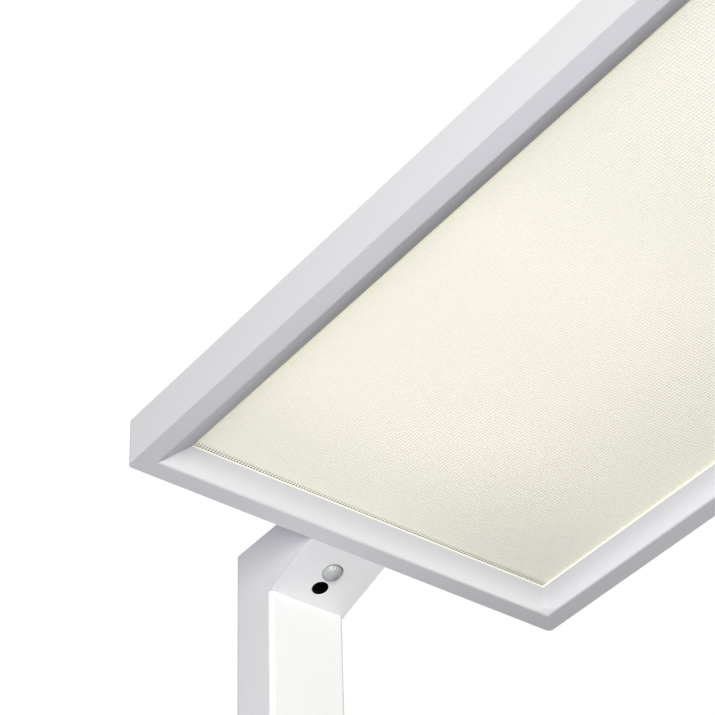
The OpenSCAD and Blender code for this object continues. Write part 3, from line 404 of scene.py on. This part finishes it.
def satinAcrylic():
    # etched clear sheet, through which the boards show softly
    paint = newPaint("satin_acrylic")
    etch = paint.noise(0.55 * mm, 3.0)
    colour = paint.blend(etch * 0.2, (0.93, 0.95, 0.95), (0.86, 0.89, 0.9))
    return paint.done(Base_Color=colour, Transmission_Weight=0.72, IOR=1.49,
                      Roughness=0.38 + (etch - 0.5) * 0.1, Normal=paint.bump(etch, 0.08, 0.1 * mm),
                      Emission_Color=(1.0, 0.97, 0.88), Emission_Strength=0.1)  # light of the boards below


def opalSheet():
    paint = newPaint("opal_film")
    cloud = paint.noise(8 * mm)
    return paint.done(Base_Color=paint.blend(cloud * 0.3, (0.93, 0.93, 0.91), (0.88, 0.88, 0.86)),
                      Roughness=0.4 + cloud * 0.1)


def leadSheath():
    paint = newPaint("lead_sheath")
    grain = paint.noise(1.4 * mm)
    tone = (0.75, 0.75, 0.74)
    return paint.done(Base_Color=paint.blend(grain * 0.3, tone, darker(tone, 0.8)),
                      Roughness=0.5 + grain * 0.1, Normal=paint.bump(grain, 0.1, 0.2 * mm))


finishes = {
    "white_steel": powderCoat("powder_coat_base", 0.68),
    "white_aluminium": powderCoat("powder_coat_aluminium", 0.45),
    "plain_aluminium": zincSteel("plain_aluminium", (0.78, 0.79, 0.8), 0.4),
    "zinc_steel": zincSteel("zinc_steel", (0.62, 0.63, 0.65), 0.34),
    "foot_rubber": footRubber(),
    "lead_rubber": leadSheath(),
    "black_plastic": mouldedPlastic("black_plastic", (0.02, 0.02, 0.022), 0.5),
    "grey_plastic": mouldedPlastic("grey_plastic", (0.13, 0.135, 0.145), 0.55),
    "light_plastic": mouldedPlastic("light_plastic", (0.82, 0.82, 0.8), 0.5),
    "circuit_board": circuitBoard("white_circuit_board", (0.82, 0.84, 0.8), (0.62, 0.66, 0.6)),
    "dark_window": darkGlass(),
    "opal_film": opalSheet(),
    "clear_acrylic": satinAcrylic(),
}
# the rails' coat, with painted shade on the bevel and painted light on the lip and bevel
railCoat = powderCoat("powder_coat_rails", 0.45, True)
greenBoard = circuitBoard("green_circuit_board", (0.02, 0.12, 0.05), (0.05, 0.2, 0.09))
ownFinish = {
    "rail_left": railCoat, "rail_right": railCoat, "rail_column_end": railCoat, "rail_far_end": railCoat,
    "control_board": greenBoard, "sensor_board": greenBoard,
    **{name: buttonPlastic(name) for name in ("button_power", "button_brighter", "button_dimmer")},
}
slotOf = {part["node"]: part["material_slot"] for part in frame["record"]["subparts"]}
for name, node in nodes.items():
    node.data.materials.clear()
    # the light plastic is for the panel and the sensor's lens, which pieces made below replace
    node.data.materials.append(ownFinish.get(name) or finishes.get(slotOf[name], finishes["light_plastic"]))
print("finishes made:", len(bpy.data.materials))


# Edge radii of the made pieces, in mm
edgeLook = {
    "rail_left": 0.35, "rail_right": 0.35, "rail_column_end": 0.35, "rail_far_end": 0.35,
    "column": 0.15, "neck_shell": 0.25, "neck_lid": 0.2, "base_plate": 0.4, "foot_pads": 0.5,
    "top_cover": 0.25, "top_lens": 0.2, "control_bezel": 0.3, "button_power": 0.3,
    "button_brighter": 0.3, "button_dimmer": 0.3, "cable_gland": 0.3, "gland_nut": 0.3,
    "head_tray": 0.2, "driver": 0.5, "mains_terminal": 0.3, "neck_bracket": 0.4, "light_window": 0.15,
}
sharpAngle = math.radians(28)


def cornerKey(point):
    return tuple(round(part * 1e6) for part in point)


def onMitre(point):
    across = min(point.x - headLow.x, headHigh.x - point.x)
    along = min(point.y - headLow.y, headHigh.y - point.y)
    return abs(across - along) < 0.02 * mm


def onColumnTop(point):
    return abs(point.z - columnTop) < 0.02 * mm


def softenEdges(node, width, onJoint):
    # lays a small round on every sharp edge; those in a joint's plane stay, so that the joint closes
    mesh = node.data
    mesh.attributes.remove(mesh.attributes["custom_normal"])
    facing = {}
    for face in mesh.polygons:
        corners = [cornerKey(mesh.vertices[i].co) for i in face.vertices]
        for one, other in zip(corners, corners[1:] + corners[:1]):
            facing.setdefault(frozenset((one, other)), []).append(face.normal.copy())
    weights = mesh.attributes.new("bevel_weight_edge", "FLOAT", "EDGE")
    sharp = mesh.attributes.get("sharp_edge") or mesh.attributes.new("sharp_edge", "BOOLEAN", "EDGE")
    for edge in mesh.edges:
        one, other = (mesh.vertices[i].co for i in edge.vertices)
        sides = facing[frozenset((cornerKey(one), cornerKey(other)))]
        turned = len(sides) == 2 and sides[0].angle(sides[1], 0.0) > sharpAngle
        rounded = turned and not (onJoint(one) and onJoint(other))
        weights.data[edge.index].value = float(rounded)
        sharp.data[edge.index].value = turned and not rounded
    for face in mesh.polygons:
        face.use_smooth = True
    node.modifiers.new("weld", "WELD").merge_threshold = 2e-6
    bevel = node.modifiers.new("round", "BEVEL")
    bevel.width = width * mm
    bevel.segments = 2
    bevel.limit_method = "WEIGHT"
    bevel.miter_outer = "MITER_ARC"
    node.modifiers.new("normals", "WEIGHTED_NORMAL").keep_sharp = True


for name, width in edgeLook.items():
    softenEdges(nodes[name], width, onMitre if name.startswith("rail") else onColumnTop)
print("edges rounded:", len(edgeLook))


def newPiece(name, mesh, material, body, node):
    piece = bpy.data.objects.new(name, mesh)
    scene.collection.objects.link(piece)
    mesh.materials.append(material)
    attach(piece, body)
    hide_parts(node)
    return piece


# Prismatic light panel: a sheet with rows of small pyramids on its lower face
panelLook = {
    "pitch": 1.9 * mm, "prismHeight": 0.3 * mm, "base": (0.65, 0.64, 0.60), "roughness": 0.35,
    "glow": (1.0, 0.95, 0.76), "glowStrength": 0.44,
    "endFade": 105 * mm, "endGlow": 0.74,  # dimmer towards the ends, away from the LED bars' middle
    "sideFade": 150 * mm, "sideGlow": 0.72,  # dimmer towards +y
    "bandGlow": (0.96, 0.96, 0.60), "bandWidth": 7 * mm,  # yellower beside the LED bars
    # facets near the unlit ends: partly their own lesser glow, partly painted shade, since those leaning along
    # y are painted dark in glow and colour for the dark gap behind the lip that they show: how far at the
    # middle and at the corners
    "darkReach": 2.9 * mm, "cornerReach": 4.7 * mm, "cornerWidth": 90 * mm, "darkDepth": 0.95,
    # painted light and painted shade on the facets: how much a facet's lean to +x and to +y adds to or takes
    # from its glow: first and last value between two places beside the head's middle, since the key is
    # stronger on the leaning facets further along
    "leanFrom": -90 * mm, "leanTo": 40 * mm, "leanX": (0.2, -0.9), "leanY": (-0.1, 0.5),
}


def prismSheet():
    low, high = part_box("prismatic_panel")
    countX = round((high.x - low.x) / panelLook["pitch"])
    countY = round((high.y - low.y) / panelLook["pitch"])
    xs = np.linspace(low.x, high.x, countX + 1)
    ys = np.linspace(low.y, high.y, countY + 1)
    valley = low.z + panelLook["prismHeight"]
    row = countX + 1
    points = [(x, y, valley) for y in ys for x in xs]
    tips = len(points)
    points += [((a + b) / 2, (c + d) / 2, low.z) for c, d in zip(ys, ys[1:]) for a, b in zip(xs, xs[1:])]
    faces = []
    for j in range(countY):
        for i in range(countX):
            a = j * row + i
            square = (a, a + 1, a + row + 1, a + row)
            tip = tips + j * countX + i
            faces += [(square[k], square[k - 1], tip) for k in range(4)]
    border = list(range(row)) + [j * row + countX for j in range(1, countY + 1)]
    border += list(range(countY * row + countX - 1, countY * row - 1, -1))
    border += [j * row for j in range(countY - 1, 0, -1)]
    above = len(points)
    points += [(points[i][0], points[i][1], high.z) for i in border]
    count = len(border)
    faces += [(border[k], border[(k + 1) % count], above + (k + 1) % count, above + k) for k in range(count)]
    faces.append(tuple(above + k for k in range(count)))
    mesh = bpy.data.meshes.new("prism_panel")
    mesh.from_pydata(points, [], faces)
    return mesh


def prismAcrylic():
    paint = newPaint("prism_acrylic")
    x, y, z = paint.axes(paint.place())
    facetX, facetY, facetZ = paint.axes(paint.make("ShaderNodeNewGeometry", out="True Normal"))
    toSide = (headHigh.y - headMiddle.y - lipIn) - abs(y - headMiddle.y)
    band = toSide.ease(0.0, panelLook["bandWidth"], 1.0, 0.0)
    toEnd = (headHigh.x - headMiddle.x - lipIn) - abs(x - headMiddle.x)
    reach = toSide.ease(0.0, panelLook["cornerWidth"], panelLook["cornerReach"], panelLook["darkReach"])
    near = (1.0 - toEnd / reach).atLeast(0.0)
    # painted shade: facets leaning along y near the unlit ends are darkened in glow here, and in base colour
    # below
    lit = 1.0 - near * abs(facetY).ease(0.1, 0.25) * panelLook["darkDepth"]
    toEdge = (headHigh.y - lipIn) - y
    spread = toEnd.ease(0.0, panelLook["endFade"], panelLook["endGlow"], 1.0)
    spread = spread * toEdge.ease(0.0, panelLook["sideFade"], panelLook["sideGlow"], 1.0)
    places = headMiddle.x + panelLook["leanFrom"], headMiddle.x + panelLook["leanTo"]
    # painted light and painted shade on the facets, by their lean
    lean = facetX * x.ease(*places, *panelLook["leanX"]) + facetY * x.ease(*places, *panelLook["leanY"])
    level = (1.0 + lean) * lit * spread
    glow = paint.blend(level, (0.0, 0.0, 0.0), paint.blend(band, panelLook["glow"], panelLook["bandGlow"]))
    sparkle = paint.noise(1.1 * mm)
    base = paint.blend(sparkle * 0.2, panelLook["base"], darker(panelLook["base"], 0.92))
    return paint.done(Base_Color=paint.blend(lit, darker(panelLook["base"], 0.1), base),
                      Roughness=panelLook["roughness"] + (sparkle - 0.5) * 0.1,
                      Emission_Color=glow, Emission_Strength=panelLook["glowStrength"])


newPiece("prism_panel", prismSheet(), prismAcrylic(), "lamp", "prismatic_panel")
print("prism panel made")


# Faceted lens of the presence sensor
lensLook = {
    "rings": ((0.0, 1), (0.36, 6), (0.7, 12), (1.0, 18)),  # share of the radius, facets round it
    "skin": 0.7 * mm, "flange": 0.9 * mm, "dome": 3.4 * mm, "wall": 2.4 * mm, "edge": 0.12 * mm,
    "tone": (0.52, 0.535, 0.545), "rimShade": 0.55, "rimFrom": 0.8,  # painted shade: darker round its rim, for the shadow in the gap round the lens
}


def frostedLens():
    low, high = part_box("presence_lens")
    paint = newPaint("frosted_lens")
    haze = paint.noise(1.4 * mm)
    x, y, z = paint.axes(paint.place())
    outX, outY = x - (low.x + high.x) / 2, y - (low.y + high.y) / 2
    outZ = z - (low.z + high.z) / 2
    fromMiddle = (outX * outX + outY * outY + outZ * outZ) ** 0.5
    radius = (high.y - low.y) / 2
    ring = fromMiddle.ease(radius * lensLook["rimFrom"], radius)
    tone = paint.blend(haze * 0.3, lensLook["tone"], darker(lensLook["tone"], 0.8))
    # painted shade round the lens's rim
    colour = paint.blend(ring, tone, darker(lensLook["tone"], lensLook["rimShade"]))
    return paint.done(Base_Color=colour, Roughness=0.2 + haze * 0.1, Transmission_Weight=0.25, IOR=1.45)


def joinRings(bm, low, high):
    # triangles between two closed rings of points, whose counts may differ
    if len(low) == 1:
        for j in range(len(high)):
            bm.faces.new((low[0], high[j], high[(j + 1) % len(high)]))
        return
    i = j = 0
    while i < len(low) or j < len(high):
        if i == len(low) or j < len(high) and j * len(low) <= i * len(high):
            bm.faces.new((low[i % len(low)], high[j], high[(j + 1) % len(high)]))
            j += 1
        else:
            bm.faces.new((low[i], high[j % len(high)], low[(i + 1) % len(low)]))
            i += 1


def facetedLens():
    # the neck's slanted face, from the neck's and the column's own boxes
    neckLow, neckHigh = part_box("neck_shell")
    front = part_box("column")[1].x
    slope = math.atan2(headLow.z - neckLow.z, neckHigh.x - front)
    outward = Vector((math.sin(slope), 0, -math.cos(slope)))
    along = Vector((math.cos(slope), 0, math.sin(slope)))
    side = Vector((0, 1, 0))
    fold = Vector((front, 0, neckLow.z))
    low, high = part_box("presence_lens")
    centre = fold + along * ((low + high) / 2 - fold).dot(along)
    radius = (high.y - low.y) / 2 - lensLook["flange"]
    ball = (radius ** 2 + lensLook["dome"] ** 2) / (2 * lensLook["dome"])
    bm = bmesh.new()

    def ring(r, out, count, half=0.0):
        turns = [2 * math.pi * (k + half) / count for k in range(count)]
        return [bm.verts.new(centre + side * (r * math.cos(t)) + along * (r * math.sin(t)) + outward * out)
                for t in turns]

    outer, inner = [], []
    shrink = (radius - lensLook["skin"]) / radius
    for share, count in lensLook["rings"]:
        r = share * radius
        height = math.sqrt(ball ** 2 - r ** 2) - (ball - lensLook["dome"])
        half = 0.5 if count == 12 else 0.0
        outer.append(ring(r, height, count, half))
        inner.append(ring(r * shrink, height - lensLook["skin"], count, half))
    wide = radius + lensLook["flange"]
    back = -lensLook["wall"] - lensLook["flange"]
    count = lensLook["rings"][-1][1]
    wall = -lensLook["wall"]
    for r, out in ((radius, wall), (wide, wall), (wide, back), (radius * shrink, back)):
        outer.append(ring(r, out, count))
    outer.append(inner[-1])
    for rings in (outer, inner):
        for near, far in zip(rings, rings[1:]):
            joinRings(bm, near, far)
    bmesh.ops.recalc_face_normals(bm, faces=bm.faces)
    mesh = bpy.data.meshes.new("presence_lens_facets")
    bm.to_mesh(mesh)
    bm.free()
    return mesh


lens = newPiece("presence_lens_facets", facetedLens(), frostedLens(), "lamp", "presence_lens")
lensEdge = lens.modifiers.new("round", "BEVEL")
lensEdge.width = lensLook["edge"]
lensEdge.segments = 1
lensEdge.angle_limit = math.radians(8)
print("sensor lens made")
